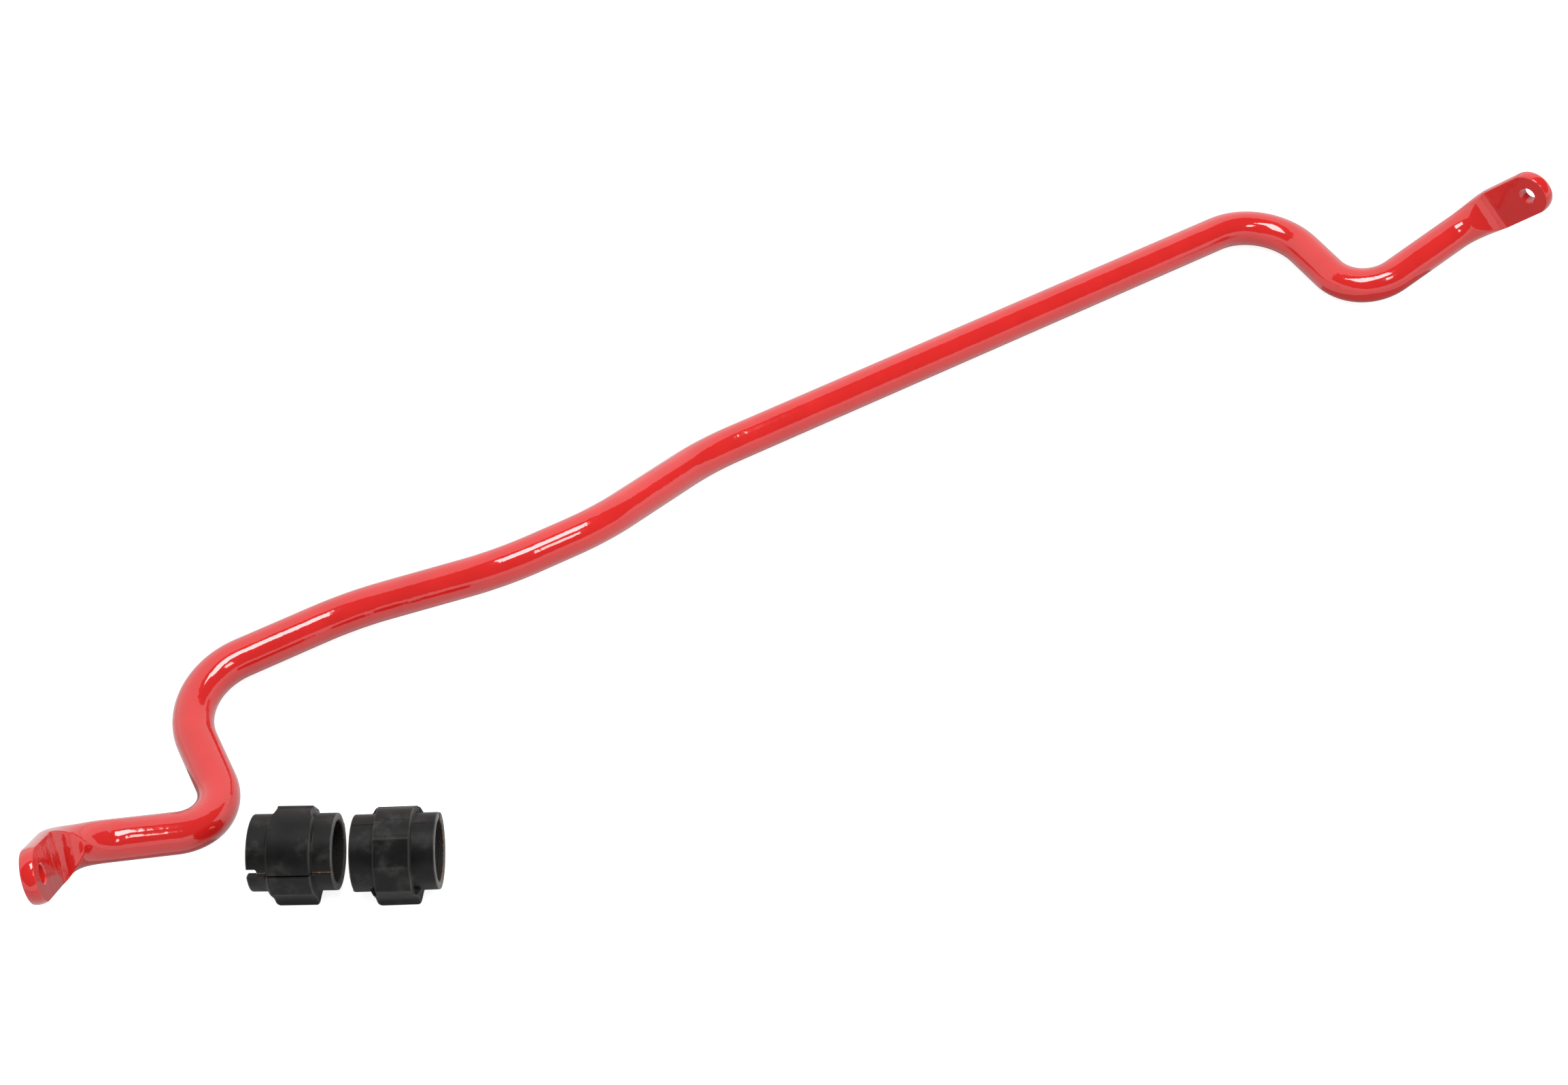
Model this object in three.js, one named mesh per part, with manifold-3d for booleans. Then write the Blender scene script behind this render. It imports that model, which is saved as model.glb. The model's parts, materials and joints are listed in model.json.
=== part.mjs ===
// Anti-roll (sway) bar with its two split rubber bushes, lying on a flat surface.
// Millimetres, +Z up. +X runs along the torsion axis, the arms point towards -Y.
// The origin is under the middle of the whole set, on the surface it lies on.
import * as THREE from 'three';
import { mergeVertices } from 'three/addons/utils/BufferGeometryUtils.js';
import Module from 'manifold-3d';

const wasm = await Module();
wasm.setup();

// ---------- driving dimensions: bar ----------
const BAR_DIAMETER = 28;
const BAR_RADIUS = BAR_DIAMETER / 2;
const TORSION_SPAN = 964;              // between the two elbow apexes on the torsion axis
const ELBOW_RADIUS = 52;
const JOG_RADIUS = 120;
const JOG_FORWARD = 39;                // the crank that clears the sump
const JOG_RISE = 26;
const JOG_APEXES = [-347.5, -245, -166, -57.5]; // along the torsion axis
const SPLIT_X = 190;                   // where the two torsion halves meet
const SPLIT_GAP = 0.3;

// ---------- driving dimensions: the two hot-bent ends ----------
// Places are outwards, forwards and up from the elbow apex. neckBack runs from the eye's centre to
// the neck apex. direction points from neck to tip and normal is the outboard face, for a right-hand
// end; the left end mirrors them. The two ends differ by a few millimetres, as bent bars do.
const ENDS = {
  left: {
    side: -1,
    knee: [1.9, 127.6],
    eye: [121, 159.3, 91.6],
    neckBack: 71.4,
    direction: [0.241, -0.658, 0.714],
    normal: [0.958, 0.279, -0.066],
    kneeRadius: 34.5,
    neckRadius: 40.7,
  },
  right: {
    side: 1,
    knee: [-0.2, 121.6],
    eye: [118.6, 156.9, 90.5],
    neckBack: 65.1,
    direction: [0.064, -0.559, 0.827],
    normal: [0.963, 0.251, 0.095],
    kneeRadius: 37.1,
    neckRadius: 37.5,
  },
};

// ---------- driving dimensions: forged eye ----------
const EYE_RADIUS = 18;                 // half the eye's width, and its round tip
const EYE_THICKNESS = 8.4;
const EYE_HOLE_DIAMETER = 12.1;        // clearance for an M12 drop-link stud
const FLAT_LENGTH = 37;                // flat face, from the hole's centre to the crease
const RAMP_LENGTH = 26;                // inboard ramp, from the crease up to the round bar
const SHOULDER_LENGTH = 44;            // outboard side, blended more gently
const FLARE_LENGTH = 42;               // over which the width narrows to the bar

// ---------- driving dimensions: bushes ----------
const BUSH_LENGTH = 55;
const SHOULDER_RADIUS = 25;
const BAND_RADIUS = 29;
const BAND_FRONT_LENGTH = 28;
const BAND_REAR_LENGTH = 24;
const BAND_FRONT_EDGE = 9;             // the wide front stops this far before the bore
const FACET_COUNT = 10;                // full count, of which the rear half is used
const FACET_START = 4;                 // degrees above the rear horizontal
const FOOT_LENGTH = 31;
const FOOT_HALF_WIDTH = 25;
const FOOT_DROP = 27;                  // bore centre to the flat under the foot
const FOOT_CORNER = 4;
const FOOT_TOP_FRONT = 12.5;           // height of the foot's top edge, front and rear
const FOOT_TOP_REAR = -5;
const FOOT_TOP_RISE = 9;               // how far the slanting top has climbed or dropped at REACH
const SLIT_ANGLE = 27.8;               // degrees above the front horizontal
const SLIT_WIDTH = 2;
const GAP = 0.3;                       // between pieces that touch
const MOUTH_RADIUS = 20.5;
const MOUTH_DEPTH = 9;
const LINER_INNER_RADIUS = 14.3;       // running clearance on the bar
const LINER_THICKNESS = 1.1;
const BORE_RADIUS = LINER_INNER_RADIUS + LINER_THICKNESS + GAP;
const BUSHES = [
  { name: 'left_bush', x: -457, y: -174, yaw: -29 },
  { name: 'right_bush', x: -400, y: -207, yaw: 152 },
];

// ---------- mesh fineness ----------
const RING_SEGMENTS = 20;
const BEND_STEP = 8;                   // degrees between rings in a bend
const ROUND_SEGMENTS = 32;
const DRILL_SEGMENTS = 24;
const CORNER_SEGMENTS = 4;
const TIP_ANGLES = [84, 70, 55, 40, 25, 12];
const NECK_STOPS = [12, 24, FLAT_LENGTH, 50, 58, 66, 74, 82]; // extra rings down the flattened neck
const REACH = 60;                      // beyond the outside of any bush

const RED = new THREE.MeshStandardMaterial({ color: 0xd8322f, roughness: 0.18, metalness: 0 });
const RUBBER = new THREE.MeshStandardMaterial({ color: 0x1d1d1c, roughness: 0.62, metalness: 0 });
const LINER = new THREE.MeshStandardMaterial({ color: 0x2b211c, roughness: 0.9, metalness: 0 });

const radians = THREE.MathUtils.degToRad;

// ---------- solids ----------
function solid(geometry) {
  const bare = geometry.index ? geometry.clone() : geometry;
  bare.deleteAttribute('normal');
  bare.deleteAttribute('uv');
  const merged = mergeVertices(bare, 1e-4);
  return new wasm.Manifold(new wasm.Mesh({
    numProp: 3,
    vertProperties: new Float32Array(merged.attributes.position.array),
    triVerts: new Uint32Array(merged.index.array),
  }));
}

function geometryOf(body) {
  const mesh = body.getMesh();
  const geometry = new THREE.BufferGeometry();
  geometry.setAttribute('position', new THREE.BufferAttribute(mesh.vertProperties, 3));
  geometry.setIndex(new THREE.BufferAttribute(mesh.triVerts, 1));
  geometry.computeVertexNormals();
  return geometry;
}

function part(name, body, material) {
  const mesh = new THREE.Mesh(geometryOf(body), material);
  mesh.name = name;
  return mesh;
}

// ---------- bent centreline ----------
class Bend extends THREE.Curve {
  constructor(centre, start, axis, angle) {
    super();
    Object.assign(this, { centre, start, axis, angle });
  }

  getPoint(t) {
    return this.start.clone().sub(this.centre).applyAxisAngle(this.axis, this.angle * t).add(this.centre);
  }
}

// Straight runs between apexes, with a round bend of the given radius at each inner apex.
function centreline(apexes, radii) {
  const path = [];
  let from = apexes[0];
  for (let i = 1; i < apexes.length - 1; i += 1) {
    const into = apexes[i].clone().sub(apexes[i - 1]).normalize();
    const out = apexes[i + 1].clone().sub(apexes[i]).normalize();
    const angle = into.angleTo(out);
    const axis = into.clone().cross(out).normalize();
    const cut = radii[i - 1] * Math.tan(angle / 2);
    const start = apexes[i].clone().addScaledVector(into, -cut);
    const centre = start.clone().addScaledVector(axis.clone().cross(into), radii[i - 1]);
    const bend = new Bend(centre, start, axis, angle);
    path.push(new THREE.LineCurve3(from, start), bend);
    from = bend.getPoint(1);
  }
  path.push(new THREE.LineCurve3(from, apexes[apexes.length - 1]));
  return path;
}

// Places along the centreline, each with its distance from the first apex.
function stationsAlong(path, extra) {
  const stations = [];
  let travelled = 0;
  path.forEach((curve) => {
    const length = curve.getLength();
    let stops = [0, 1];
    if (curve instanceof Bend) {
      const steps = Math.ceil(THREE.MathUtils.radToDeg(curve.angle) / BEND_STEP);
      stops = Array.from({ length: steps + 1 }, (_, k) => k / steps);
    }
    const inside = extra.map((s) => (s - travelled) / length).filter((t) => t > 0.02 && t < 0.98);
    if (!(curve instanceof Bend)) stops = [...stops, ...inside].sort((a, b) => a - b);
    stops.slice(stations.length ? 1 : 0).forEach((t) => {
      stations.push({
        distance: travelled + t * length,
        point: curve.getPoint(t),
        tangent: curve.getTangent(Math.min(Math.max(t, 1e-4), 1 - 1e-4)),
      });
    });
    travelled += length;
  });
  return stations;
}

// ---------- section of the forged end ----------
const smooth = (t) => THREE.MathUtils.smoothstep(t, 0, 1);

function sectionAt(distance) {
  const half = EYE_THICKNESS / 2;
  if (distance <= 0) {
    return { width: Math.sqrt(Math.max(EYE_RADIUS ** 2 - distance ** 2, 0)), inboard: half, outboard: half };
  }
  const past = distance - FLAT_LENGTH;
  const width = BAR_RADIUS + (EYE_RADIUS - BAR_RADIUS) * (1 - smooth(past / FLARE_LENGTH));
  const inboard = half + Math.max(past, 0) / RAMP_LENGTH * (BAR_RADIUS - half);
  const outboard = half + smooth(past / SHOULDER_LENGTH) * (BAR_RADIUS - half);
  return {
    width,
    inboard: Math.min(inboard, BAR_RADIUS),
    outboard: Math.min(outboard, BAR_RADIUS),
  };
}

function ringAt(station, normal) {
  const across = normal.clone().cross(station.tangent).normalize();
  const section = sectionAt(station.distance);
  return Array.from({ length: RING_SEGMENTS }, (_, k) => {
    const angle = (2 * Math.PI * k) / RING_SEGMENTS;
    const rise = THREE.MathUtils.clamp(BAR_RADIUS * Math.sin(angle), -section.inboard, section.outboard);
    return station.point.clone()
      .addScaledVector(across, section.width * Math.cos(angle))
      .addScaledVector(normal, rise);
  });
}

// Closed skin through rings, with a fan over each end ring.
function loft(rings) {
  const points = rings.flat();
  const count = RING_SEGMENTS;
  const index = [];
  for (let i = 0; i < rings.length - 1; i += 1) {
    for (let k = 0; k < count; k += 1) {
      const a = i * count + k;
      const b = i * count + ((k + 1) % count);
      index.push(a, b, a + count, b, b + count, a + count);
    }
  }
  [0, rings.length - 1].forEach((i) => {
    const centre = rings[i].reduce((sum, p) => sum.add(p), new THREE.Vector3()).divideScalar(count);
    const hub = points.push(centre) - 1;
    for (let k = 0; k < count; k += 1) {
      const a = i * count + k;
      const b = i * count + ((k + 1) % count);
      if (i === 0) index.push(hub, b, a);
      else index.push(hub, a, b);
    }
  });
  const geometry = new THREE.BufferGeometry().setFromPoints(points);
  geometry.setIndex(index);
  return geometry;
}

// One torsion half: from its eye's tip, through neck, knee and elbow, to the split.
function barHalf(name, end, innerApexes, innerRadii) {
  const { side } = end;
  const elbow = new THREE.Vector3(side * TORSION_SPAN / 2, 0, 0);
  const knee = elbow.clone().add(new THREE.Vector3(side * end.knee[0], -end.knee[1], 0));
  const eye = elbow.clone().add(new THREE.Vector3(side * end.eye[0], -end.eye[1], end.eye[2]));
  const mirror = new THREE.Vector3(side, 1, 1);
  const outwards = new THREE.Vector3(...end.direction).multiply(mirror).normalize();
  const normal = new THREE.Vector3(...end.normal).multiply(mirror);
  normal.addScaledVector(outwards, -normal.dot(outwards)).normalize();
  const neck = eye.clone().addScaledVector(outwards, -end.neckBack);
  const split = new THREE.Vector3(SPLIT_X + side * SPLIT_GAP / 2, 0, 0);

  const path = centreline(
    [eye, neck, knee, elbow, ...innerApexes, split],
    [end.neckRadius, end.kneeRadius, ELBOW_RADIUS, ...innerRadii],
  );
  const body = stationsAlong(path, NECK_STOPS);
  const tip = TIP_ANGLES.map((angle) => {
    const reach = EYE_RADIUS * Math.sin(radians(angle));
    const point = eye.clone().addScaledVector(outwards, reach);
    return { distance: -reach, point, tangent: outwards.clone().negate() };
  });

  // The section keeps its heading by turning only as much as the centreline does.
  const heading = normal.clone();
  let previous = outwards.clone().negate();
  const rings = [...tip, ...body].map((station) => {
    heading.applyQuaternion(new THREE.Quaternion().setFromUnitVectors(previous, station.tangent));
    previous = station.tangent;
    return ringAt(station, heading.clone());
  });

  const hole = EYE_HOLE_DIAMETER / 2;
  const drill = new THREE.CylinderGeometry(hole, hole, 3 * EYE_THICKNESS, DRILL_SEGMENTS);
  drill.applyQuaternion(new THREE.Quaternion().setFromUnitVectors(new THREE.Vector3(0, 1, 0), normal));
  drill.translate(eye.x, eye.y, eye.z);
  return part(name, solid(loft(rings)).subtract(solid(drill)), RED);
}

// ---------- bush, built along its own X axis, slit towards -Y ----------
const ALONG_X = new THREE.Matrix4().makeBasis(
  new THREE.Vector3(0, 1, 0),
  new THREE.Vector3(0, 0, 1),
  new THREE.Vector3(1, 0, 0),
);

// A section drawn in (y, z), given a length along X and centred on it.
function prism(shape, length, curveSegments = ROUND_SEGMENTS) {
  const geometry = new THREE.ExtrudeGeometry(shape, { depth: length, bevelEnabled: false, curveSegments });
  geometry.translate(0, 0, -length / 2);
  geometry.applyMatrix4(ALONG_X);
  return solid(geometry);
}

function rod(radius, length, at = 0) {
  const geometry = new THREE.CylinderGeometry(radius, radius, length, ROUND_SEGMENTS);
  geometry.rotateZ(-Math.PI / 2);
  geometry.translate(at, 0, 0);
  return solid(geometry);
}

function polygon(points) {
  return new THREE.Shape(points.map(([y, z]) => new THREE.Vector2(y, z)));
}

// A large wedge holding everything above the slit plane, moved up or down from it.
function aboveSlit(frontGap, rearGap) {
  const slope = Math.tan(radians(SLIT_ANGLE));
  const lift = 1 / Math.cos(radians(SLIT_ANGLE));
  return prism(polygon([
    [-REACH, REACH * slope + frontGap * lift],
    [0, frontGap * lift],
    [0.01, rearGap * lift],
    [REACH, -REACH * slope + rearGap * lift],
    [REACH, 2 * REACH],
    [-REACH, 2 * REACH],
  ]), 2 * REACH);
}

// A block holding everything in front of the band's change of width.
function frontPart() {
  const edge = -BAND_FRONT_EDGE;
  return prism(polygon([[-REACH, -REACH], [edge, -REACH], [edge, REACH], [-REACH, REACH]]), BUSH_LENGTH);
}

function bandBody() {
  const front = rod(BAND_RADIUS, BAND_FRONT_LENGTH).intersect(frontPart());
  const corner = BAND_RADIUS / Math.cos(Math.PI / FACET_COUNT);
  const facets = polygon(Array.from({ length: FACET_COUNT }, (_, k) => {
    const angle = radians(FACET_START) + (2 * Math.PI * k) / FACET_COUNT;
    return [corner * Math.cos(angle), corner * Math.sin(angle)];
  }));
  const rear = prism(facets, BAND_REAR_LENGTH).subtract(frontPart());
  return front.add(rear);
}

// The squared foot, rounded up to the band over its own length and cut off by a slanting top.
function footBody() {
  const side = FOOT_HALF_WIDTH;
  const inner = side - FOOT_CORNER;
  const cornerHeight = -FOOT_DROP + FOOT_CORNER;
  const block = new THREE.Shape();
  block.moveTo(-side, 0);
  block.lineTo(-side, cornerHeight);
  block.absarc(-inner, cornerHeight, FOOT_CORNER, Math.PI, 1.5 * Math.PI, false);
  block.lineTo(inner, -FOOT_DROP);
  block.absarc(inner, cornerHeight, FOOT_CORNER, -0.5 * Math.PI, 0, false);
  block.lineTo(side, 0);
  const low = polygon([
    [-REACH, -REACH],
    [REACH, -REACH],
    [REACH, FOOT_TOP_REAR - FOOT_TOP_RISE],
    [-REACH, FOOT_TOP_FRONT + FOOT_TOP_RISE],
  ]);
  return prism(block, FOOT_LENGTH, CORNER_SEGMENTS)
    .add(rod(BAND_RADIUS, FOOT_LENGTH))
    .intersect(prism(low, BUSH_LENGTH));
}

function bush({ name, x, y, yaw }) {
  const mouth = (BUSH_LENGTH - MOUTH_DEPTH) / 2;
  const aboveGround = prism(polygon([
    [-REACH, -FOOT_DROP],
    [REACH, -FOOT_DROP],
    [REACH, REACH],
    [-REACH, REACH],
  ]), BUSH_LENGTH);
  const rubber = rod(SHOULDER_RADIUS, BUSH_LENGTH)
    .add(bandBody())
    .add(footBody())
    .intersect(aboveGround)
    .subtract(rod(BORE_RADIUS, BUSH_LENGTH + 2))
    .subtract(rod(MOUTH_RADIUS, MOUTH_DEPTH + 1, mouth + 0.5))
    .subtract(rod(MOUTH_RADIUS, MOUTH_DEPTH + 1, -mouth - 0.5));
  const linerLength = BUSH_LENGTH - 2 * MOUTH_DEPTH;
  const liner = rod(LINER_INNER_RADIUS + LINER_THICKNESS, linerLength)
    .subtract(rod(LINER_INNER_RADIUS, linerLength + 2));
  const upper = aboveSlit(SLIT_WIDTH / 2, GAP / 2);
  const lower = aboveSlit(-SLIT_WIDTH / 2, -GAP / 2);

  const group = new THREE.Group();
  group.add(
    part(`${name}_base`, rubber.subtract(lower), RUBBER),
    part(`${name}_cap`, rubber.intersect(upper), RUBBER),
    part(`${name}_liner_lower`, liner.subtract(lower), LINER),
    part(`${name}_liner_upper`, liner.intersect(upper), LINER),
  );
  group.position.set(x, y, FOOT_DROP);
  group.rotation.z = radians(yaw);
  return group;
}

// ---------- assembly ----------
const jog = JOG_APEXES.map((at, i) => {
  const cranked = i === 1 || i === 2;
  return new THREE.Vector3(at, cranked ? -JOG_FORWARD : 0, cranked ? JOG_RISE : 0);
});
const bar = new THREE.Group();
bar.add(
  barHalf('bar_left_half', ENDS.left, jog, jog.map(() => JOG_RADIUS)),
  barHalf('bar_right_half', ENDS.right, [], []),
);
bar.position.z = BAR_RADIUS;

const set = new THREE.Group();
set.add(bar, ...BUSHES.map(bush));
const extent = new THREE.Box3().setFromObject(set, true);
const middle = extent.getCenter(new THREE.Vector3());
set.position.set(-middle.x, -middle.y, 0);

export default set;
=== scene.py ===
"""Looks of the sway bar set: one glossy red bar and two split rubber bushes on a white floor.

The frame is in metres: +X along the torsion axis, arms towards -Y, +Z up. Shapes are worked out in
millimetres from the middle of the torsion axis, or from a bush's own centre, and placed at the end.
"""

import json
import math

import bmesh
import bpy
from mathutils import Matrix, Quaternion, Vector, noise


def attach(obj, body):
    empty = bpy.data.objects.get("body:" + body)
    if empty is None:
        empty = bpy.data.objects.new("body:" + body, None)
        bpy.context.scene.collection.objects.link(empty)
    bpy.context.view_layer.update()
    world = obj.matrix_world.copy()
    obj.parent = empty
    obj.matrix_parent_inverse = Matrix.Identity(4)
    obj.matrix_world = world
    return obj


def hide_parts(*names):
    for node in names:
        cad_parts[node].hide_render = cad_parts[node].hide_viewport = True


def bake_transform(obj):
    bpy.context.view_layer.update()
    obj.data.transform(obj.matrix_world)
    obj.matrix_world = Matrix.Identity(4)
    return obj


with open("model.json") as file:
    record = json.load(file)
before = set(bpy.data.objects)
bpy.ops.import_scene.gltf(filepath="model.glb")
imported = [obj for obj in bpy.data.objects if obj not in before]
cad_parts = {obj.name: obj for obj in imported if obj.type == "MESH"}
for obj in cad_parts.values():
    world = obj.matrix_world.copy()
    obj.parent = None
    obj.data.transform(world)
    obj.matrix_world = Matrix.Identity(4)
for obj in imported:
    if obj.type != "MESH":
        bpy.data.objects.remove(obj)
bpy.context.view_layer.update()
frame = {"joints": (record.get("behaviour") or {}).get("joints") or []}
MM = 0.001

# ---------------------------------------------------------------- driving dimensions of the bar, mm
BAR_RADIUS = 14.0
TORSION_SPAN = 964.0
SPLIT_X = 190.0
JOG_APEXES = (-347.5, -245.0, -166.0, -57.5)
JOG_FORWARD = 39.0
JOG_RISE = 26.0
JOG_RADIUS = 120.0
ELBOW_RADIUS = 52.0
EYE_RADIUS = 18.0
EYE_HALF = 4.2
EYE_HOLE_RADIUS = 6.05
HOLE_CHAMFER = 0.9
DRILL_OVERRUN = 6
FLAT_LENGTH = 37.0
RAMP_LENGTH = 26.0
SHOULDER_LENGTH = 44.0
FLARE_LENGTH = 42.0
EDGE_ROUNDING = 0.9
CREASE_ROUNDING = 2.5
# Measured from the elbow apex, outwards, forwards and up.
ENDS = {
    "left": dict(
        side=-1, knee=(1.9, 127.6), eye=(121.0, 159.3, 91.6), neck_back=71.4,
        direction=(0.241, -0.658, 0.714), normal=(0.958, 0.279, -0.066), knee_radius=34.5, neck_radius=40.7,
    ),
    "right": dict(
        side=1, knee=(-0.2, 121.6), eye=(118.6, 156.9, 90.5), neck_back=65.1,
        direction=(0.064, -0.559, 0.827), normal=(0.963, 0.251, 0.095), knee_radius=37.1, neck_radius=37.5,
    ),
}

# ---------------------------------------------------------------- driving dimensions of a bush, mm
BUSH_HALF = 27.5
SHOULDER_RADIUS = 25.0
BAND_RADIUS = 29.0
BAND_FRONT_HALF = 14.0
BAND_REAR_HALF = 12.0
FOOT_HALF = 15.5
FOOT_HALF_WIDTH = 25.0
FOOT_DROP = 27.0
FACET_ANGLE = 36.0
FACET_START = 4.0
FOOT_TOP_FRONT_ANGLE = 25.5
FOOT_TOP_REAR_ANGLE = 190.0
SLIT_ANGLE = 27.8
SLIT_HALF = 0.55
NOTCH_HALF = 2.8
NOTCH_LENGTH = 6.5
MOUTH_RADIUS = 20.5
MOUTH_DEPTH = 9.0
BORE_RADIUS = 15.7
LINER_THICKNESS = 1.1
BUSHES = (
    dict(
        name="left_bush", at=(-457.0, -174.0), yaw=-29.0, crack=False, seed=3.0,
        narrow_from=112.0, facets_from=136.0,
    ),
    dict(
        name="right_bush", at=(-400.0, -207.0), yaw=152.0, crack=True, seed=11.0,
        narrow_from=26.0, facets_from=98.0,
    ),
)

twist_joint = next(j for j in frame["joints"] if j["name"] == "bar_twist")
AXIS = Vector(twist_joint["pos_m"]) - Vector((SPLIT_X * MM, 0, 0))


def clamp(value, low=0.0, high=1.0):
    return min(max(value, low), high)


def smoothstep(value):
    t = clamp(value)
    return t * t * (3 - 2 * t)


def soft_min(value, limit, width):
    """The smaller of two lengths, with a rounded corner of about that width between them."""
    if width < 1e-6:
        return min(value, limit)
    share = clamp(0.5 + 0.5 * (limit - value) / width)
    return limit + (value - limit) * share - width * share * (1 - share)


def soft_max(value, other, width):
    return -soft_min(-value, -other, width)


def make_object(name, points, faces, material):
    mesh = bpy.data.meshes.new(name)
    mesh.from_pydata([tuple(p) for p in points], [], faces)
    mesh.materials.append(material)
    obj = bpy.data.objects.new(name, mesh)
    bpy.context.scene.collection.objects.link(obj)
    return obj


def finish_mesh(obj, crease_angle):
    """Welds the mesh, turns its faces outwards, and keeps edges sharper than crease_angle (degrees) crisp."""
    edit = bmesh.new()
    edit.from_mesh(obj.data)
    bmesh.ops.remove_doubles(edit, verts=edit.verts, dist=2e-7)
    bmesh.ops.dissolve_degenerate(edit, edges=edit.edges, dist=1e-8)
    bmesh.ops.recalc_face_normals(edit, faces=edit.faces)
    for face in edit.faces:
        face.smooth = True
    for edge in edit.edges:
        if len(edge.link_faces) == 2:
            edge.smooth = edge.calc_face_angle(0.0) < math.radians(crease_angle)
    edit.to_mesh(obj.data)
    edit.free()
    obj.data.update()


# ---------------------------------------------------------------- node helpers
def new_material(name):
    material = bpy.data.materials.new(name)
    material.use_nodes = True
    shader = material.node_tree.nodes["Principled BSDF"]
    return material, material.node_tree, shader


def noise_value(tree, scale, detail=3.0, roughness=0.5, source=None):
    made = tree.nodes.new("ShaderNodeTexNoise")
    made.inputs["Scale"].default_value = scale
    made.inputs["Detail"].default_value = detail
    made.inputs["Roughness"].default_value = roughness
    tree.links.new(source or object_place(tree), made.inputs["Vector"])
    return made.outputs["Fac"]


def object_place(tree):
    return tree.nodes.new("ShaderNodeTexCoord").outputs["Object"]


def math_node(tree, operation, a, b=None, c=None, clamped=False):
    made = tree.nodes.new("ShaderNodeMath")
    made.operation = operation
    made.use_clamp = clamped
    for socket, value in zip(made.inputs, (a, b, c)):
        if value is None:
            continue
        if isinstance(value, (int, float)):
            socket.default_value = value
        else:
            tree.links.new(value, socket)
    return made.outputs[0]


def ramp(tree, value, stops):
    """A colour ramp over value, from (place, (r, g, b)) stops."""
    made = tree.nodes.new("ShaderNodeValToRGB")
    elements = made.color_ramp.elements
    while len(elements) < len(stops):
        elements.new(0.5)
    for element, (place, colour) in zip(elements, stops):
        element.position = place
        element.color = (*colour, 1)
    tree.links.new(value, made.inputs["Fac"])
    return made.outputs["Color"]


def spread(tree, value, low, high, from_low=0.0, from_high=1.0):
    made = tree.nodes.new("ShaderNodeMapRange")
    made.inputs["From Min"].default_value = from_low
    made.inputs["From Max"].default_value = from_high
    made.inputs["To Min"].default_value = low
    made.inputs["To Max"].default_value = high
    tree.links.new(value, made.inputs["Value"])
    return made.outputs["Result"]


def mixed(tree, share, first, second):
    """first turning into the colour second by share."""
    made = tree.nodes.new("ShaderNodeMix")
    made.data_type = "RGBA"
    factor, a, b = made.inputs[0], made.inputs[6], made.inputs[7]
    tree.links.new(share, factor)
    tree.links.new(first, a)
    if isinstance(second, tuple):
        b.default_value = (*second, 1)
    else:
        tree.links.new(second, b)
    return made.outputs[2]


def add_bump(tree, shader, height, strength, distance):
    made = tree.nodes.new("ShaderNodeBump")
    made.inputs["Strength"].default_value = strength
    made.inputs["Distance"].default_value = distance
    tree.links.new(height, made.inputs["Height"])
    tree.links.new(made.outputs["Normal"], shader.inputs["Normal"])
    return made


# ---------------------------------------------------------------- materials
def red_powder_coat(eye_places):
    """Thick glossy red coat: orange peel all over, drips and pimples round each eye hole."""
    material, tree, shader = new_material("red_powder_coat")
    place = object_place(tree)
    tone = noise_value(tree, 38.0, 2.0, 0.5, place)
    colour = ramp(tree, tone, [(0.3, (0.500, 0.0110, 0.0100)), (0.7, (0.550, 0.0135, 0.0120))])
    tree.links.new(colour, shader.inputs["Base Color"])
    shader.inputs["IOR"].default_value = 1.5
    shader.inputs["Coat Weight"].default_value = 1.0
    shader.inputs["Coat Roughness"].default_value = 0.035
    rough = spread(tree, noise_value(tree, 120.0, 2.0, 0.5, place), 0.07, 0.13)
    tree.links.new(rough, shader.inputs["Roughness"])

    peel = noise_value(tree, 210.0, 1.0, 0.4, place)
    waves = noise_value(tree, 55.0, 1.0, 0.4, place)
    height = math_node(tree, "MULTIPLY_ADD", waves, 2.2, peel)
    drips = noise_value(tree, 520.0, 2.0, 0.6, place)
    for centre in eye_places:
        away = tree.nodes.new("ShaderNodeVectorMath")
        away.operation = "DISTANCE"
        away.inputs[1].default_value = centre
        tree.links.new(place, away.inputs[0])
        near = spread(tree, away.outputs["Value"], 1.0, 0.0, 0.0075, 0.0125)
        rough_ring = math_node(tree, "MULTIPLY", near, drips)
        height = math_node(tree, "MULTIPLY_ADD", rough_ring, 1.0, height)
    peel_bump = add_bump(tree, shader, height, 1.0, 0.00010)
    tree.links.new(peel_bump.outputs["Normal"], shader.inputs["Coat Normal"])
    return material


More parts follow.
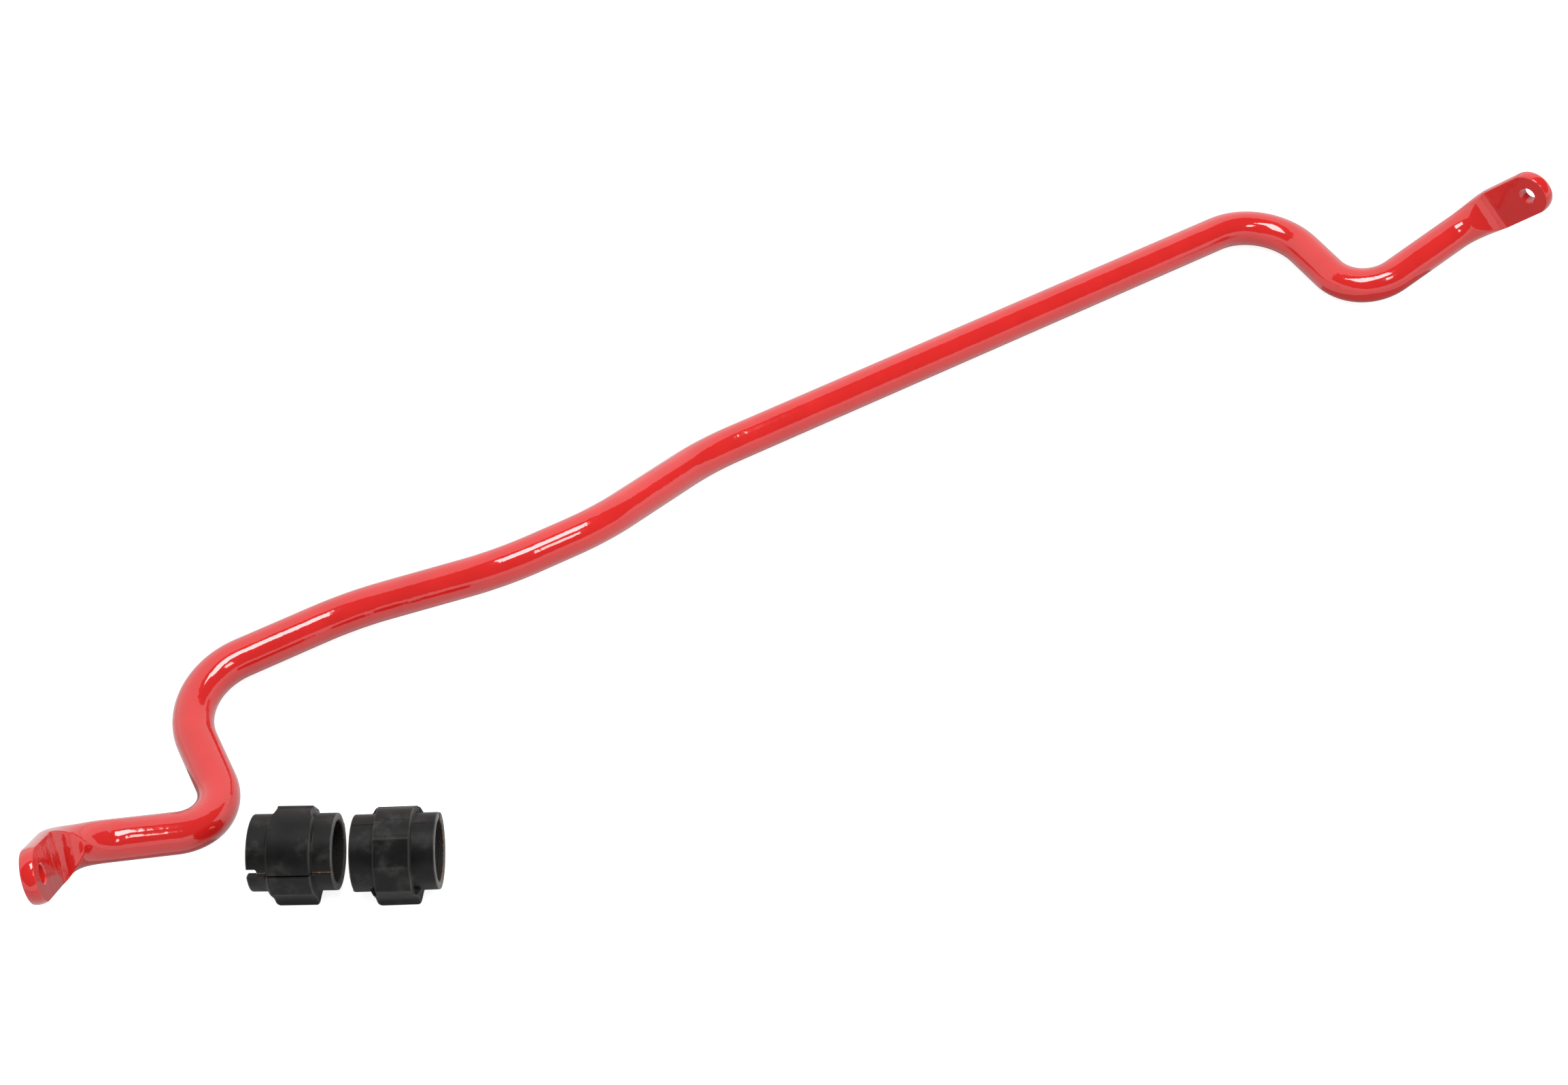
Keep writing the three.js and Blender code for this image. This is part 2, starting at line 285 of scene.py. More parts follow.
def bush_rubber():
    """Moulded black rubber: dusty grey bloom in patches, whose brightest patches are also a painted sheen,
    fine grain, and a painted highlight along its edges, where edges catch light.
    """
    material, tree, shader = new_material("bush_rubber")
    place = object_place(tree)
    # Dusty bloom in random patches; its brightest patches are also a painted sheen in the base colour.
    bloom_and_sheen = noise_value(tree, 62.0, 5.0, 0.62, place)
    speck = noise_value(tree, 1500.0, 2.0, 0.6, place)
    colour = ramp(tree, bloom_and_sheen, [(0.36, (0.0030, 0.0030, 0.0029)), (0.54, (0.0056, 0.0055, 0.0053)),
                                (0.72, (0.026, 0.025, 0.024))])
    dust = math_node(tree, "MULTIPLY", spread(tree, speck, 0.0, 1.0, 0.58, 0.75),
                     spread(tree, bloom_and_sheen, 0.0, 0.5, 0.45, 0.7))
    colour = mixed(tree, dust, colour, (0.050, 0.048, 0.045))
    # Painted highlight: the attribute lightens the rubber towards pale grey, in patches, along rims, band
    # edges and facet corners.
    edge_highlight_attribute = tree.nodes.new("ShaderNodeAttribute")
    edge_highlight_attribute.attribute_name = "edge_highlight"
    patchy_edge_highlight = math_node(tree, "MULTIPLY", edge_highlight_attribute.outputs["Fac"], spread(tree, bloom_and_sheen, 0.55, 1.0, 0.35, 0.6))
    colour = mixed(tree, patchy_edge_highlight, colour, (0.125, 0.122, 0.116))
    tree.links.new(colour, shader.inputs["Base Color"])
    tree.links.new(spread(tree, bloom_and_sheen, 0.34, 0.52), shader.inputs["Roughness"])
    shader.inputs["Specular IOR Level"].default_value = 0.24
    grain = noise_value(tree, 2600.0, 2.0, 0.55, place)
    ripple = noise_value(tree, 160.0, 3.0, 0.5, place)
    add_bump(tree, shader, math_node(tree, "MULTIPLY_ADD", ripple, 1.5, grain), 0.55, 0.00006)
    return material


def woven_liner():
    """Tightly woven dark liner, with its brown fibres showing at the cut edges."""
    material, tree, shader = new_material("woven_liner")
    place = object_place(tree)
    edge = tree.nodes.new("ShaderNodeAttribute")
    edge.attribute_name = "cut_edge"
    cells = tree.nodes.new("ShaderNodeTexVoronoi")
    cells.inputs["Scale"].default_value = 1.0
    weave = tree.nodes.new("ShaderNodeAttribute")
    weave.attribute_name = "weave_place"
    cells.inputs["Randomness"].default_value = 0.25
    tree.links.new(weave.outputs["Vector"], cells.inputs["Vector"])
    knots = spread(tree, cells.outputs["Distance"], 1.0, 0.0, 0.05, 0.5)
    base = ramp(tree, knots, [(0.2, (0.004, 0.0038, 0.0036)), (0.9, (0.030, 0.026, 0.022))])
    fibres = ramp(tree, noise_value(tree, 1900.0, 2.0, 0.7, place),
                  [(0.36, (0.030, 0.013, 0.008)), (0.52, (0.165, 0.070, 0.038)), (0.66, (0.42, 0.24, 0.15))])
    tree.links.new(mixed(tree, edge.outputs["Fac"], base, fibres), shader.inputs["Base Color"])
    shader.inputs["Roughness"].default_value = 0.72
    fuzz = noise_value(tree, 2600.0, 2.0, 0.6, place)
    add_bump(tree, shader, math_node(tree, "MULTIPLY_ADD", knots, 2.5, fuzz), 0.8, 0.00018)
    return material


# ---------------------------------------------------------------- the bar's centreline
def end_places(end):
    """Eye, neck and knee apexes, and the eye's two directions, in mm from the middle of the torsion axis."""
    side = end["side"]
    elbow = Vector((side * TORSION_SPAN / 2, 0, 0))
    knee = elbow + Vector((side * end["knee"][0], -end["knee"][1], 0))
    out, forward, rise = end["eye"]
    eye = elbow + Vector((side * out, -forward, rise))
    mirror = Vector((side, 1, 1))
    outwards = (Vector(end["direction"]) * mirror).normalized()
    normal = Vector(end["normal"]) * mirror
    normal = (normal - outwards * normal.dot(outwards)).normalized()
    neck = eye - outwards * end["neck_back"]
    return dict(eye=eye, neck=neck, knee=knee, elbow=elbow, outwards=outwards, normal=normal)


class Run:
    """A straight stretch of the centreline."""

    def __init__(self, start, end):
        self.start = start
        self.tangent = (end - start).normalized()
        self.length = (end - start).length

    def at(self, distance):
        return self.start + self.tangent * distance, self.tangent


class Bend:
    """A round bend of the centreline at an apex."""

    def __init__(self, before, apex, after, radius):
        self.into = (apex - before).normalized()
        out = (after - apex).normalized()
        self.angle = self.into.angle(out)
        self.axis = self.into.cross(out).normalized()
        self.start = apex - self.into * radius * math.tan(self.angle / 2)
        self.centre = self.start + self.axis.cross(self.into) * radius
        self.length = radius * self.angle

    def at(self, distance):
        turn = Quaternion(self.axis, self.angle * distance / self.length)
        return self.centre + turn @ (self.start - self.centre), turn @ self.into


def centreline(apexes, radii):
    stretches = []
    start = apexes[0]
    for before, apex, after, radius in zip(apexes, apexes[1:], apexes[2:], radii):
        bend = Bend(before, apex, after, radius)
        stretches += [Run(start, bend.start), bend]
        start = bend.at(bend.length)[0]
    stretches.append(Run(start, apexes[-1]))
    return stretches


def place_along(stretches, distance):
    for stretch in stretches[:-1]:
        if distance <= stretch.length:
            return stretch.at(distance)
        distance -= stretch.length
    return stretches[-1].at(distance)


FINE_REACH = 95.0
FINE_STEP = 0.9
COARSE_STEP = 2.6


def station_distances(total):
    """Distances from the left eye, close together at both forged ends."""
    half = []
    distance = 0.0
    while distance < total / 2:
        half.append(distance)
        distance += FINE_STEP if distance < FINE_REACH else COARSE_STEP
    return half + [total - d for d in reversed(half)]


# ---------------------------------------------------------------- the bar's section
SIDE_POINTS = 4
EDGE_POINTS = 6
FACE_POINTS = 20


def half_turn_angles(limit):
    """Angles from 0 to 180 degrees, crowded at the two edges of a flat cut at that height."""
    counts = (SIDE_POINTS, EDGE_POINTS, FACE_POINTS, EDGE_POINTS, SIDE_POINTS)
    total = sum(counts)
    edge = math.asin(clamp(limit / BAR_RADIUS))
    rounding = EDGE_ROUNDING / (BAR_RADIUS * max(math.cos(edge), 0.05))
    window = min(rounding, edge / 1.6, (math.pi / 2 - edge) / 2.2)
    stops = [0, edge - window, edge + window, math.pi - edge - window, math.pi - edge + window, math.pi]
    crowding = clamp((BAR_RADIUS - limit) / (BAR_RADIUS - EYE_HALF) * 3)
    angles = []
    index = 0
    for count, low, high in zip(counts, stops, stops[1:]):
        for k in range(count):
            crowded = low + (high - low) * k / count
            even = math.pi * index / total
            angles.append(even + (crowded - even) * crowding)
            index += 1
    return angles


def section_points(distance):
    """(across, rise) points round the bar at a distance from the nearer eye's centre."""
    past = distance - FLAT_LENGTH
    width = BAR_RADIUS + (EYE_RADIUS - BAR_RADIUS) * (1 - smoothstep(past / FLARE_LENGTH))
    ramp_past = soft_max(past, 0.0, CREASE_ROUNDING)
    inboard = min(EYE_HALF + ramp_past / RAMP_LENGTH * (BAR_RADIUS - EYE_HALF), BAR_RADIUS)
    outboard = EYE_HALF + smoothstep(past / SHOULDER_LENGTH) * (BAR_RADIUS - EYE_HALF)
    points = []
    for limit, sign in ((outboard, 1), (inboard, -1)):
        rounding = min(EDGE_ROUNDING, (BAR_RADIUS - limit) * 1.2)
        for angle in half_turn_angles(limit):
            across = sign * width * math.cos(angle)
            rise = sign * soft_min(BAR_RADIUS * math.sin(angle), limit, rounding)
            points.append((across, rise))
    return points


TIP_RINGS = 18
DENT_DISTANCE = 96.0
DENT_TURN = -118.0
DENT_LENGTH = 5.5
DENT_HALF_ANGLE = 44.0
DENT_DEPTH = 0.8


def dent(distance, angle):
    """Depth of the shallow oval press mark on the left neck."""
    along = (distance - DENT_DISTANCE) / DENT_LENGTH
    around = ((math.degrees(angle) - DENT_TURN + 180) % 360 - 180) / DENT_HALF_ANGLE
    return DENT_DEPTH * smoothstep(1.6 * (1 - math.hypot(along, around)))


def bar_rings(ends):
    left, right = (end_places(ENDS[name]) for name in ("left", "right"))
    jog = [
        Vector((x, -JOG_FORWARD * cranked, JOG_RISE * cranked))
        for x, cranked in zip(JOG_APEXES, (0, 1, 1, 0))
    ]
    apexes = [left["eye"], left["neck"], left["knee"], left["elbow"], *jog]
    apexes += [right["elbow"], right["knee"], right["neck"], right["eye"]]
    radii = [ENDS["left"]["neck_radius"], ENDS["left"]["knee_radius"], ELBOW_RADIUS]
    radii += [JOG_RADIUS] * len(jog)
    radii += [ELBOW_RADIUS, ENDS["right"]["knee_radius"], ENDS["right"]["neck_radius"]]
    stretches = centreline(apexes, radii)
    total = sum(s.length for s in stretches)
    distances = station_distances(total)
    stations = [(d, *place_along(stretches, d)) for d in distances]

    # The section keeps its heading by turning only as much as the centreline does.
    headings = [left["normal"].copy()]
    for before, after in zip(stations, stations[1:]):
        turn = before[2].rotation_difference(after[2])
        headings.append((turn @ headings[-1]).normalized())
    last = stations[-1][2]
    slip = math.atan2(headings[-1].cross(right["normal"]).dot(last), headings[-1].dot(right["normal"]))

    rings = []
    for (distance, point, tangent), heading in zip(stations, headings):
        share = smoothstep((point.x + 20) / 400)
        heading = Quaternion(tangent, slip * share) @ heading
        across = heading.cross(tangent).normalized()
        ring = []
        for u, v in section_points(min(distance, total - distance)):
            if distance < 2 * FINE_REACH:
                shrink = 1 - dent(distance, math.atan2(v, u)) / BAR_RADIUS
                u, v = u * shrink, v * shrink
            ring.append(point + across * u + heading * v)
        rings.append(ring)
    return tip_fan(left, rings[0])[::-1] + rings + tip_fan(right, rings[-1])


def tip_fan(end, ring):
    """Rings that swing both sides of the section at the eye's centre round to meet at the tip."""
    fan = []
    for k in range(1, TIP_RINGS + 1):
        swing = math.pi / 2 * k / TIP_RINGS
        turned = []
        for point in ring:
            local = point - end["eye"]
            rise = local.dot(end["normal"])
            across = local - end["normal"] * rise
            turned.append(end["eye"] + end["normal"] * rise + across * math.cos(swing)
                          + end["outwards"] * across.length * math.sin(swing))
        fan.append(turned)
    return fan


def lathe(profile, centre, axis, steps):
    """Closed solid turned from a (radius, height) profile that starts and ends on the axis."""
    side = axis.orthogonal().normalized()
    points = []
    faces = []
    count = len(profile)
    for k in range(steps):
        around = Quaternion(axis, 2 * math.pi * k / steps) @ side
        points += [(centre + around * r + axis * h) for r, h in profile]
        nxt = (k + 1) % steps
        for i in range(count - 1):
            faces.append((k * count + i, nxt * count + i, nxt * count + i + 1, k * count + i + 1))
    return points, faces


def cut_hole(bar, end):
    """Drills and countersinks an eye."""
    deep = EYE_HALF + DRILL_OVERRUN
    edge = EYE_HALF - HOLE_CHAMFER
    flare = EYE_HOLE_RADIUS + HOLE_CHAMFER + DRILL_OVERRUN
    hole = EYE_HOLE_RADIUS
    profile = [(0, -deep), (flare, -deep), (hole, -edge), (hole, edge), (flare, deep), (0, deep)]
    profile = [(r * MM, h * MM) for r, h in profile]
    centre = AXIS + end["eye"] * MM
    points, faces = lathe(profile, centre, end["normal"], 96)
    drill = make_object("drill", points, faces, bar.data.materials[0])
    finish_mesh(drill, 30)
    cut = bar.modifiers.new("cut", "BOOLEAN")
    cut.object = drill
    cut.operation = "DIFFERENCE"
    cut.solver = "EXACT"
    graph = bpy.context.evaluated_depsgraph_get()
    mesh = bpy.data.meshes.new_from_object(bar.evaluated_get(graph))
    bar.modifiers.clear()
    bar.data = mesh
    bpy.data.objects.remove(drill)


def build_bar():
    rings = bar_rings(ENDS)
    count = len(rings[0])
    points = [AXIS + p * MM for ring in rings for p in ring]
    faces = []
    for i in range(len(rings) - 1):
        for k in range(count):
            a, b = i * count + k, i * count + (k + 1) % count
            faces.append((a, b, b + count, a + count))
    ends = [end_places(ENDS[name]) for name in ("left", "right")]
    eye_places = [AXIS + end["eye"] * MM for end in ends]
    bar = make_object("sway_bar", points, faces, red_powder_coat(eye_places))
    finish_mesh(bar, 60)
    for end in ends:
        cut_hole(bar, end)
    finish_mesh(bar, 32)
    end = AXIS + Vector((0.42, 0, 0))
    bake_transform(bar)
    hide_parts("bar_left_half", "bar_right_half")
    return bar


# ---------------------------------------------------------------- bushes
FOOT_CORNER_BLEND = 2.6
BAND_FRONT_WALL = 2.6
BAND_REAR_WALL = 1.1
FOOT_WALL = 3.4
FOOT_BOTTOM_ROUNDING = 4.5
RIM_ROUNDING = 0.9
MOUTH_ROUNDING = 0.7
BAND_GAP_ANGLES = (220, 350)
FACETING_SPREAD = 6
NARROWING_SPREAD = 14
CRACK_ANGLE = 74.5
CRACK_WIDTH = 0.42
CRACK_DEEP = 0.42
CRACK_FINE_ANGLES = (70.5, 78.5)


# A bush is worked out in its own frame: X along the bore, angles from the front (-Y) upwards.
def foot_radius(angle):
    """Distance from the bore's centre to the foot's outline, with its bottom corners rounded."""
    side = FOOT_HALF_WIDTH / max(abs(math.cos(angle)), 1e-3)
    bottom = FOOT_DROP / max(-math.sin(angle), 1e-3)
    return soft_min(side, bottom, FOOT_CORNER_BLEND)


def facet_radius(angle):
    """Distance to the ten-sided rear of the band."""
    rear = math.degrees(math.pi - angle)
    off = (rear - FACET_START) % FACET_ANGLE - FACET_ANGLE / 2
    return BAND_RADIUS / math.cos(math.radians(off))


def wall(x, half, width):
    """1 inside a length of the bush, falling to 0 over a wall of that width."""
    return smoothstep((half - abs(x)) / width + 0.5)


def outer_radius(angle, x, bush):
    """Radius of a bush's outside."""
    degrees = (math.degrees(angle) - FOOT_TOP_FRONT_ANGLE) % 360 + FOOT_TOP_FRONT_ANGLE
    radius = SHOULDER_RADIUS - edge_round(BUSH_HALF - abs(x), RIM_ROUNDING)

    rear = rear_share(degrees, bush)
    faceted = smoothstep((degrees - bush["facets_from"]) / FACETING_SPREAD)
    band = BAND_RADIUS + (facet_radius(angle) - BAND_RADIUS) * faceted
    width = BAND_FRONT_WALL + (BAND_REAR_WALL - BAND_FRONT_WALL) * rear
    if degrees < BAND_GAP_ANGLES[0] or degrees > BAND_GAP_ANGLES[1]:
        radius += (band - SHOULDER_RADIUS) * wall(x, band_half(degrees, bush), width)

    top = smoothstep((degrees - FOOT_TOP_REAR_ANGLE) / 2.4)
    inside = top * smoothstep((360 + FOOT_TOP_FRONT_ANGLE - degrees) / 1.6)
    if inside > 0:
        foot = BAND_RADIUS
        if math.sin(angle) < 0:
            foot = soft_max(foot_radius(angle), BAND_RADIUS, 3.0)
        depth = -math.sin(angle) * foot
        shrink = edge_round(FOOT_DROP - depth, FOOT_BOTTOM_ROUNDING) if depth > 0 else 0
        side = SHOULDER_RADIUS + (foot - SHOULDER_RADIUS) * wall(x, FOOT_HALF - shrink, FOOT_WALL)
        radius += (soft_max(radius, side, 0.4) - radius) * inside
    if math.sin(angle) < 0:
        radius = min(radius, FOOT_DROP / -math.sin(angle))
    if bush["crack"]:
        radius -= crack_depth(degrees, x)
    return radius


def rear_share(degrees, bush):
    """0 on the wide front of the band, 1 on its narrower faceted rear."""
    narrowed = smoothstep((degrees - bush["narrow_from"]) / NARROWING_SPREAD)
    return narrowed * smoothstep((202 - degrees) / 6)


def band_half(degrees, bush):
    return BAND_FRONT_HALF + (BAND_REAR_HALF - BAND_FRONT_HALF) * rear_share(degrees, bush)


# Painted highlight on both rims of the bush, where the end faces catch light.
def rim_highlight(x):
    return smoothstep((abs(x) - (BUSH_HALF - RIM_ROUNDING)) / 0.7)


def edge_highlight(degrees, x, bush):
    """How strongly a painted highlight lightens the rubber: along the rims, the band's edges and its facet
    corners, where edges catch light.
    """
    rim = rim_highlight(x)
    edge = math.exp(-(((abs(x) - band_half(degrees, bush) + 0.2) / 0.45) ** 2))
    corner = 0.0
    if bush["facets_from"] < degrees < 182 and abs(x) < BAND_REAR_HALF:
        rear = (180 - degrees - FACET_START + FACET_ANGLE / 2) % FACET_ANGLE - FACET_ANGLE / 2
        corner = math.exp(-((rear / 1.3) ** 2))
    return clamp(max(rim, 0.42 * edge, 0.10 * corner))


def edge_round(depth, radius):
    """How far a rounded edge falls back at that depth from it."""
    if depth >= radius:
        return 0.0
    return radius - math.sqrt(max(radius ** 2 - (radius - depth) ** 2, 0))


def crack_depth(degrees, x):
    """The fine, ragged parting line that runs along the top of one bush."""
    wander = 1.3 * noise.noise(Vector((x * 0.55, 4.7, 0))) if abs(x) < BAND_REAR_HALF else 0.0
    away = (degrees - CRACK_ANGLE - wander) / CRACK_WIDTH
    return CRACK_DEEP * math.exp(-away * away)


def bush_angles():
    """Angles round a bush from one lip of the slit to the other, closer together at the parting line."""
    stops = [SLIT_ANGLE, 68, *CRACK_FINE_ANGLES, 104, 140, 176, FOOT_TOP_REAR_ANGLE, 194, 222.8, 317.2,
             360, 360 + FOOT_TOP_FRONT_ANGLE - 3, 360 + SLIT_ANGLE]
    angles = []
    for low, high in zip(stops, stops[1:]):
        step = 0.5 if high - low < 7 else 1.25
        if (low, high) == CRACK_FINE_ANGLES:
            step = 0.25
        count = max(1, round((high - low) / step))
        angles += [low + (high - low) * k / count for k in range(count)]
    return angles + [stops[-1]]


def slit_half(x):
    """Half the slit's width: it gapes at one end of the bush."""
    gape = smoothstep((x + BUSH_HALF - NOTCH_LENGTH) / -0.8 + 0.5)
    return SLIT_HALF + (NOTCH_HALF - SLIT_HALF) * gape


def axial_stops():
    stops = []
    x = -BUSH_HALF
    while x < BUSH_HALF:
        stops.append(x)
        near_wall = 10.5 < abs(x) < 18.6 or abs(x) > BUSH_HALF - 1.5
        x += 0.36 if near_wall else 0.9
    return stops + [BUSH_HALF]


def sweep(loops):
    """Skin over closed loops of equal length, left open at both end loops."""
    count = len(loops[0])
    faces = []
    for i in range(len(loops) - 1):
        for k in range(count):
            a, b = i * count + k, i * count + (k + 1) % count
            faces.append((a, b, b + count, a + count))
    return [p for loop in loops for p in loop], faces


def strip_cap(first, count, flip):
    """Closes a loop whose outer run and inner run have matching points, as a strip of quads."""
    faces = []
    for k in range(count // 2 - 1):
        a, b = first + k, first + k + 1
        c, d = first + count - 2 - k, first + count - 1 - k
        faces.append((a, d, c, b) if flip else (a, b, c, d))
    return faces


def bent_point(x, radius, share_angle):
    """A point at that angle, pushed round so that the slit's lips stay parallel to its middle plane."""
    start = math.degrees(math.asin(min(slit_half(x) / radius, 1)))
    span = (share_angle - SLIT_ANGLE) / 360
    angle = math.radians(SLIT_ANGLE + start + span * (360 - 2 * start))
    return angle, Vector((x, -radius * math.cos(angle), radius * math.sin(angle)))


def bore_profile(x, inset):
    """Inner radius of the bush along its length: a gripping bore between two relieved mouths."""
    reach = BUSH_HALF - MOUTH_DEPTH
    share = smoothstep((abs(x) - reach) / 1.6 + 0.5)
    flare = edge_round(BUSH_HALF - abs(x), MOUTH_ROUNDING)
    return BORE_RADIUS - inset + (MOUTH_RADIUS - BORE_RADIUS) * share + flare


def place_bush(bush):
    turn = Matrix.Rotation(math.radians(bush["yaw"]), 4, "Z")
    centre = Vector((AXIS.x + bush["at"][0] * MM, AXIS.y + bush["at"][1] * MM, FOOT_DROP * MM))
    return Matrix.Translation(centre) @ turn @ Matrix.Scale(MM, 4)


def build_bush(bush, material):
    xs = axial_stops()
    loops = []
    # Per point strength of the painted edge highlight.
    edge_highlight_values = []
    for share_angle in bush_angles():
        loop = []
        for x in xs:
            angle = bent_point(x, SHOULDER_RADIUS, share_angle)[0]
            radius = outer_radius(angle, x, bush)
            loop.append(bent_point(x, radius, share_angle)[1])
            edge_highlight_values.append(edge_highlight(math.degrees(angle), x, bush))
        for x in reversed(xs):
            loop.append(bent_point(x, bore_profile(x, 0.0), share_angle)[1])
            edge_highlight_values.append(rim_highlight(x))
        loops.append(loop)
    points, faces = sweep(loops)
    count = len(loops[0])
    faces += strip_cap(0, count, False)
    faces += strip_cap((len(loops) - 1) * count, count, True)
    place = place_bush(bush)
    obj = make_object(bush["name"], [place @ p for p in points], faces, material)
    # Stores the painted edge highlight for the rubber's colour to read.
    obj.data.attributes.new("edge_highlight", "FLOAT", "POINT").data.foreach_set("value", edge_highlight_values)
    finish_mesh(obj, 38)
    base, cap = f"{bush['name']}_base", f"{bush['name']}_cap"
    split_blend(obj)
    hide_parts(base, cap)
    return obj


def split_blend(obj):
    """Bakes the object's placement into its mesh."""
    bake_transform(obj)


LINER_BOND = 0.12
GRIP_HALF = 17
MOUTH_INSET = 0.6
WEAVE_PITCH = 1.5


def build_liner(bush, material):
    """Woven liner bonded to the bore and both mouths."""
    xs = [x for x in axial_stops() if abs(x) < BUSH_HALF - 0.3]
    angles = bush_angles()
    loops, edge_values, weave = [], [], []
    for share_angle in angles:
        loop = []
        for layer, order in ((0, xs), (1, list(reversed(xs)))):
            for x in order:
                inset = LINER_BOND
                if layer == 1:
                    inset = LINER_BOND + LINER_THICKNESS + 0.2 if abs(x) < GRIP_HALF else MOUTH_INSET
                radius = bore_profile(x, inset)
                loop.append(bent_point(x, radius, share_angle)[1])
                edge_values.append(smoothstep((abs(x) - (BUSH_HALF - 1.1)) / 0.5))
                weave.append((x / WEAVE_PITCH, math.radians(share_angle) * radius / WEAVE_PITCH, 0.0))
        loops.append(loop)
    points, faces = sweep(loops)
    count = len(loops[0])
    faces += strip_cap(0, count, False)
    faces += strip_cap((len(loops) - 1) * count, count, True)
    place = place_bush(bush)
    obj = make_object(f"{bush['name']}_liner", [place @ p for p in points], faces, material)
    cut = obj.data.attributes.new("cut_edge", "FLOAT", "POINT")
    cut.data.foreach_set("value", edge_values)
    threads = obj.data.attributes.new("weave_place", "FLOAT_VECTOR", "POINT")
    threads.data.foreach_set("vector", [value for row in weave for value in row])
    for polygon in obj.data.polygons:
        polygon.use_smooth = True
    split_blend(obj)
    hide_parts(f"{bush['name']}_liner_lower", f"{bush['name']}_liner_upper")
    return obj


# (radius, side) round the fringe's section, with side in half slit widths.
FRINGE_OUTLINE = ((20.9, -1), (24.4, -1), (24.8, -0.4), (24.8, 0.4), (24.4, 1), (20.9, 1))


def build_fibres(bush, material):
    """The liner's frayed brown edge, showing in the slit on both shoulders."""
    runs = (
        (-BUSH_HALF + NOTCH_LENGTH + 0.2, -BAND_FRONT_HALF - 0.6),
        (BAND_FRONT_HALF + 0.6, BUSH_HALF - 0.2),
    )
    points, faces = [], []
    sides = len(FRINGE_OUTLINE)
    slope = math.radians(SLIT_ANGLE)
    outwards = Vector((0, -math.cos(slope), math.sin(slope)))
    across = Vector((0, math.sin(slope), math.cos(slope)))
    for low, high in runs:
        steps = round((high - low) / 0.3)
        first = len(points)
        for k in range(steps + 1):
            x = low + (high - low) * k / steps
            for radius, side in FRINGE_OUTLINE:
                fray = noise.noise(Vector((x * 2.3, radius * 3.1, side * 2.7 + bush["seed"])))
                thick = side * (SLIT_HALF + 0.02)
                points.append(Vector((x, 0, 0)) + outwards * (radius + 0.45 * fray) + across * thick)
            if k:
                a = first + (k - 1) * sides
                b = a + sides
                faces += [(a + j, a + (j + 1) % sides, b + (j + 1) % sides, b + j) for j in range(sides)]
        faces += [tuple(range(first, first + sides)), tuple(range(len(points) - sides, len(points)))]
    place = place_bush(bush)
    obj = make_object(f"{bush['name']}_liner_fringe", [place @ p for p in points], faces, material)
    obj.data.attributes.new("cut_edge", "FLOAT", "POINT").data.foreach_set("value", [1.0] * len(points))
    finish_mesh(obj, 70)
    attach(obj, f"{bush['name']}_base")
    return obj


# ---------------------------------------------------------------- studio
CAMERA_PLACE = (-516.4, -908.15, 1182.1)
CAMERA_AIM = (-42.5, -93.35, -14.0)
LENS_MM = 46.83


def build_camera():
    data = bpy.data.cameras.new("camera")
    data.lens = LENS_MM
    data.sensor_width = 36.0
    data.clip_end = 50.0
    camera = bpy.data.objects.new("camera", data)
    bpy.context.scene.collection.objects.link(camera)
    camera.location = AXIS + Vector(CAMERA_PLACE) * MM
    aim = AXIS + Vector(CAMERA_AIM) * MM
    camera.rotation_euler = (aim - camera.location).to_track_quat("-Z", "Y").to_euler()
    bpy.context.scene.camera = camera


FLOOR_HALF = 9.0
CARD_HEIGHT = 0.0005
CARD_GREY = 0.24
FLAG_HEIGHT = 1.9
FLAG_GREY = 0.12
FLOOR_DROP = 0.0002
FLOOR_GLOW = 0.80


def build_floor():
    """White floor that also glows a little to the camera, so that only contact shadows show on it."""
    corners = [(-1, -1), (1, -1), (1, 1), (-1, 1)]
    material, tree, shader = new_material("white_floor")
    shader.inputs["Base Color"].default_value = (0.52, 0.52, 0.52, 1)
    shader.inputs["Roughness"].default_value = 0.7
    shader.inputs["Specular IOR Level"].default_value = 0.1
    seen = tree.nodes.new("ShaderNodeLightPath").outputs["Is Camera Ray"]
    glow = math_node(tree, "MULTIPLY", seen, FLOOR_GLOW)
    shader.inputs["Emission Color"].default_value = (1, 1, 1, 1)
    tree.links.new(glow, shader.inputs["Emission Strength"])
    points = [Vector((x * FLOOR_HALF, y * FLOOR_HALF, -FLOOR_DROP)) for x, y in corners]
    make_object("floor", points, [(0, 1, 2, 3)], material)


def softbox(name, place, aim, size, radiance):
    """A flat white panel of that radiance, size (wide, high) in metres."""
    data = bpy.data.lights.new(name, "AREA")
    data.shape = "RECTANGLE"
    data.size, data.size_y = size
    data.energy = radiance * math.pi * size[0] * size[1]
    light = bpy.data.objects.new(name, data)
    bpy.context.scene.collection.objects.link(light)
    light.location = place
    light.rotation_euler = (Vector(aim) - Vector(place)).to_track_quat("-Z", "Y").to_euler()
    light.visible_camera = False


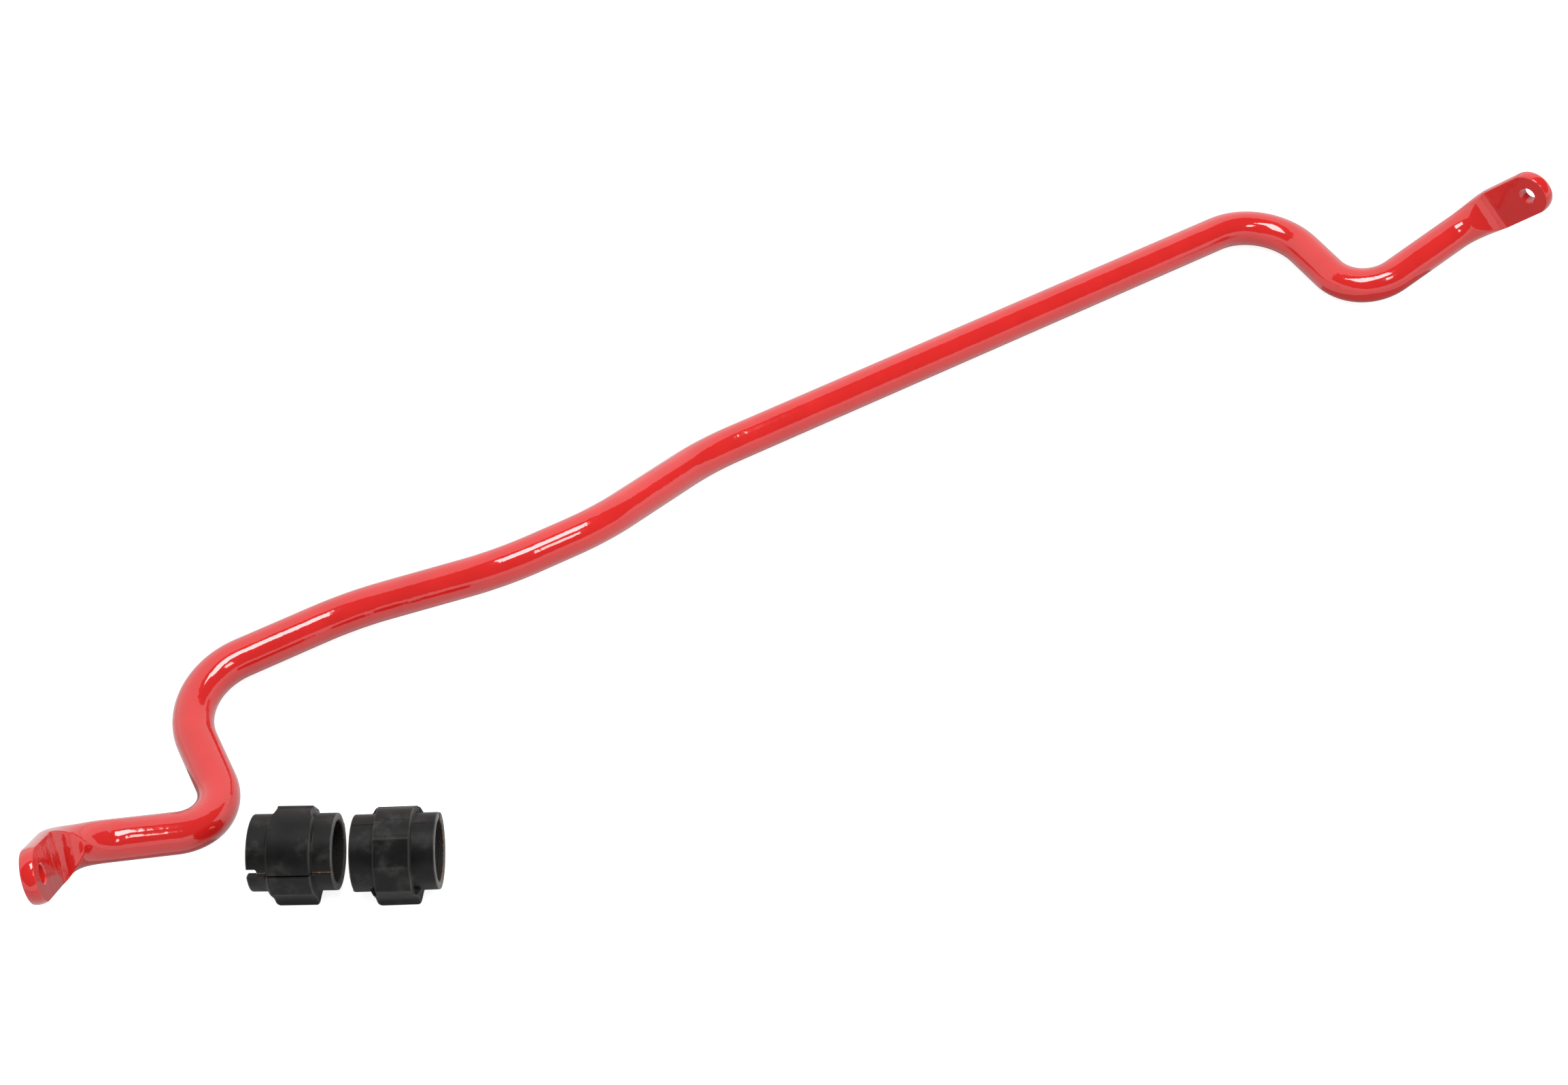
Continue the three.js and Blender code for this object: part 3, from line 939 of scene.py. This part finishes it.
def black_flag(name, corners, grey):
    """A dark card that shows only in reflections, as the unlit side of a studio does."""
    material = bpy.data.materials.new(name)
    material.use_nodes = True
    tree = material.node_tree
    tree.nodes.clear()
    glow = tree.nodes.new("ShaderNodeEmission")
    glow.inputs["Color"].default_value = (grey, grey, grey, 1)
    output = tree.nodes.new("ShaderNodeOutputMaterial")
    tree.links.new(glow.outputs["Emission"], output.inputs["Surface"])
    card = make_object(name, [Vector(c) for c in corners], [(0, 1, 2, 3)], material)
    card.visible_camera = False
    card.visible_diffuse = False
    card.visible_shadow = False
    card.visible_transmission = False


def build_studio():
    scene = bpy.context.scene
    world = bpy.data.worlds.new("studio")
    world.use_nodes = True
    world.node_tree.nodes["Background"].inputs["Color"].default_value = (1, 1, 1, 1)
    world.node_tree.nodes["Background"].inputs["Strength"].default_value = 1.0
    scene.world = world
    scene.view_settings.view_transform = "Standard"
    scene.view_settings.look = "None"
    softbox("window_light", (0.0, AXIS.y - 0.12, 1.55), (0.0, AXIS.y - 0.12, 0), (0.9, 0.56), 9.5)
    softbox("front_light", (0.27, AXIS.y - 1.05, 1.6), (0.3, AXIS.y - 0.1, 0), (0.30, 0.42), 8.0)
    back, front = AXIS.y + 0.62, AXIS.y - 5
    corners = [(-4, back), (5, back), (5, front), (-4, front)]
    black_flag("flag_above", [(x, y, FLAG_HEIGHT) for x, y in corners], FLAG_GREY)


def dark_card(name, eye, outwards, half):
    """A dark card on the floor by an eye, seen only in reflections: it deepens the flat face's red."""
    centre = AXIS + Vector(eye) * MM
    middle = centre + Vector(outwards) * (centre.z / -outwards[2])
    corners = [(-1, -1), (1, -1), (1, 1), (-1, 1)]
    black_flag(name, [(middle.x + a * half, middle.y + b * half, CARD_HEIGHT) for a, b in corners], CARD_GREY)


build_camera()
build_studio()
dark_card("left_card", end_places(ENDS["left"])["eye"], (0.463, 0.416, -0.783), 0.046)
dark_card("right_card", end_places(ENDS["right"])["eye"], (-0.643, 0.10, -0.76), 0.055)
build_floor()
build_bar()
rubber = bush_rubber()
liner = woven_liner()
for bush in BUSHES:
    build_bush(bush, rubber)
    build_liner(bush, liner)
    build_fibres(bush, liner)
